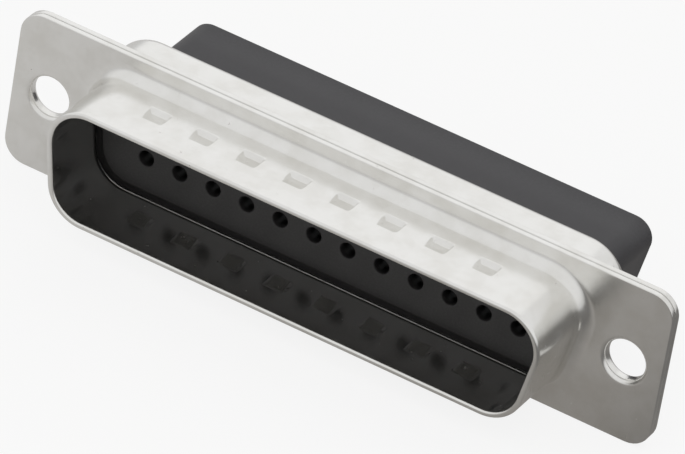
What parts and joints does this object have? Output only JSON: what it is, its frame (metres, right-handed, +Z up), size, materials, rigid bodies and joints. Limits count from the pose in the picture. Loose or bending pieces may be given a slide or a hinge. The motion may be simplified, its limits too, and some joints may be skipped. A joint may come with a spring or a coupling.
{
  "type": "d-sub connector",
  "caption": "D-sub plug housing for crimp contacts: a drawn steel nose and rear pan clinched together round a black insulator with a two-row grid of contact cavities.",
  "frame": {"origin": "midway between the two mounting holes, on the front face of the flange", "axes": "+X to the right seen from the mating side, the nose points along -Y, +Z up towards the wide row of contacts"},
  "size_m": [0.053, 0.0183, 0.0126],
  "materials": {
    "tin_plate": "bright tin plate over drawn steel",
    "insulator": "black moulded thermoplastic, matt"
  },
  "bodies": {
    "root": {"front_shell": "tin_plate", "rear_shell": "tin_plate", "front_insulator": "insulator", "rear_insulator": "insulator"}
  },
  "joints": []
}
